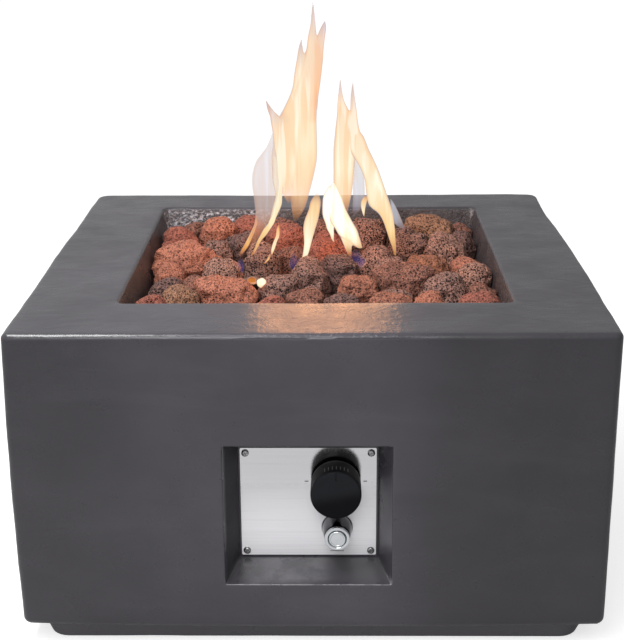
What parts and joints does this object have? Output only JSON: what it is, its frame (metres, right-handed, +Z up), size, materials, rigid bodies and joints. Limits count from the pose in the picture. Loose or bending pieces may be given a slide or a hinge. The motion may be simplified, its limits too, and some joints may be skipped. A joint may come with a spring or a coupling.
{
  "type": "gas fire pit table",
  "caption": "Low square cast table with a drafted fire bowl of lava rock over a ring burner, and a recessed steel control panel with a push-and-turn gas knob and a push-button igniter.",
  "frame": {"origin": "on the floor, under the centre of the square body", "axes": "+Z up, +X to the right, the face with the control recess looks towards -Y"},
  "size_m": [0.711, 0.711, 0.4128],
  "materials": {
    "cast_body": "satin",
    "brushed_plate": "satin",
    "screw_steel": "satin",
    "galvanised": "matte",
    "brass": "satin",
    "valve_alloy": "matte",
    "spring_steel": "satin",
    "knob_black": "satin",
    "copper": "satin",
    "burner_steel": "satin",
    "pan_steel": "matte",
    "pilot_steel": "satin",
    "insulator": "gloss",
    "lead_rubber": "matte",
    "chrome": "polished",
    "black_plastic": "matte",
    "battery_wrap": "gloss",
    "lava_rock": "matte"
  },
  "bodies": {
    "table": {"body_shell": "cast_body", "panel_inserts": "brass", "control_panel": "brushed_plate", "panel_screws": "screw_steel", "heat_shield": "galvanised", "valve_bonnet": "valve_alloy", "valve_screws": "screw_steel", "bonnet_screws": "screw_steel", "valve_body": "valve_alloy", "magnet_unit": "screw_steel", "knob_spring": "spring_steel", "inlet_elbow": "brass", "inlet_nut": "brass", "gas_pipe": "copper", "pipe_nuts": "brass", "injector_holder": "brass", "injector_jet": "brass", "mixer_tube": "valve_alloy", "burner_nipple": "burner_steel", "pan_lock_nuts": "screw_steel", "burner_hub": "burner_steel", "burner_crossbar": "burner_steel", "burner_ring": "burner_steel", "burner_pan": "pan_steel", "pilot_bracket": "pilot_steel", "pilot_hood": "pilot_steel", "bracket_screws": "screw_steel", "bracket_nuts": "screw_steel", "spark_electrode": "pilot_steel", "electrode_insulator": "insulator", "ignition_lead": "lead_rubber", "lead_boots": "lead_rubber", "thermocouple_probe": "burner_steel", "thermocouple_nut": "brass", "thermocouple_lead": "copper", "igniter_bezel": "chrome", "igniter_cap": "chrome", "button_spring": "spring_steel", "igniter_housing": "black_plastic", "igniter_nut": "black_plastic", "igniter_battery": "battery_wrap", "battery_spring": "spring_steel", "igniter_terminals": "brass", "rocks_front_left": "lava_rock", "rocks_front_right": "lava_rock", "rocks_middle": "lava_rock", "rocks_back_left": "lava_rock", "rocks_back_right": "lava_rock", "rocks_fill": "lava_rock", "rocks_base": "lava_rock"},
    "press_washer": {"spring_seat": "screw_steel"},
    "knob": {"valve_stem": "screw_steel", "stem_circlip": "spring_steel", "gas_knob": "knob_black", "knob_insert": "brass"},
    "button": {"igniter_button": "chrome"}
  },
  "joints": [
    {"name": "knob_press", "type": "slide", "parent": "table", "child": "press_washer", "axis": [0, 1, 0], "range_m": [0, 0.004], "stiffness_N_per_m": 900, "deforming": ["knob_spring"]},
    {"name": "knob_turn", "type": "hinge", "parent": "press_washer", "child": "knob", "pos_m": [0.0285, -0.3255, 0.2005], "axis": [0, -1, 0], "range_deg": [-90, 90]},
    {"name": "igniter_press", "type": "slide", "parent": "table", "child": "button", "axis": [0, 1, 0], "range_m": [0, 0.0025], "stiffness_N_per_m": 600, "deforming": ["button_spring"]}
  ]
}
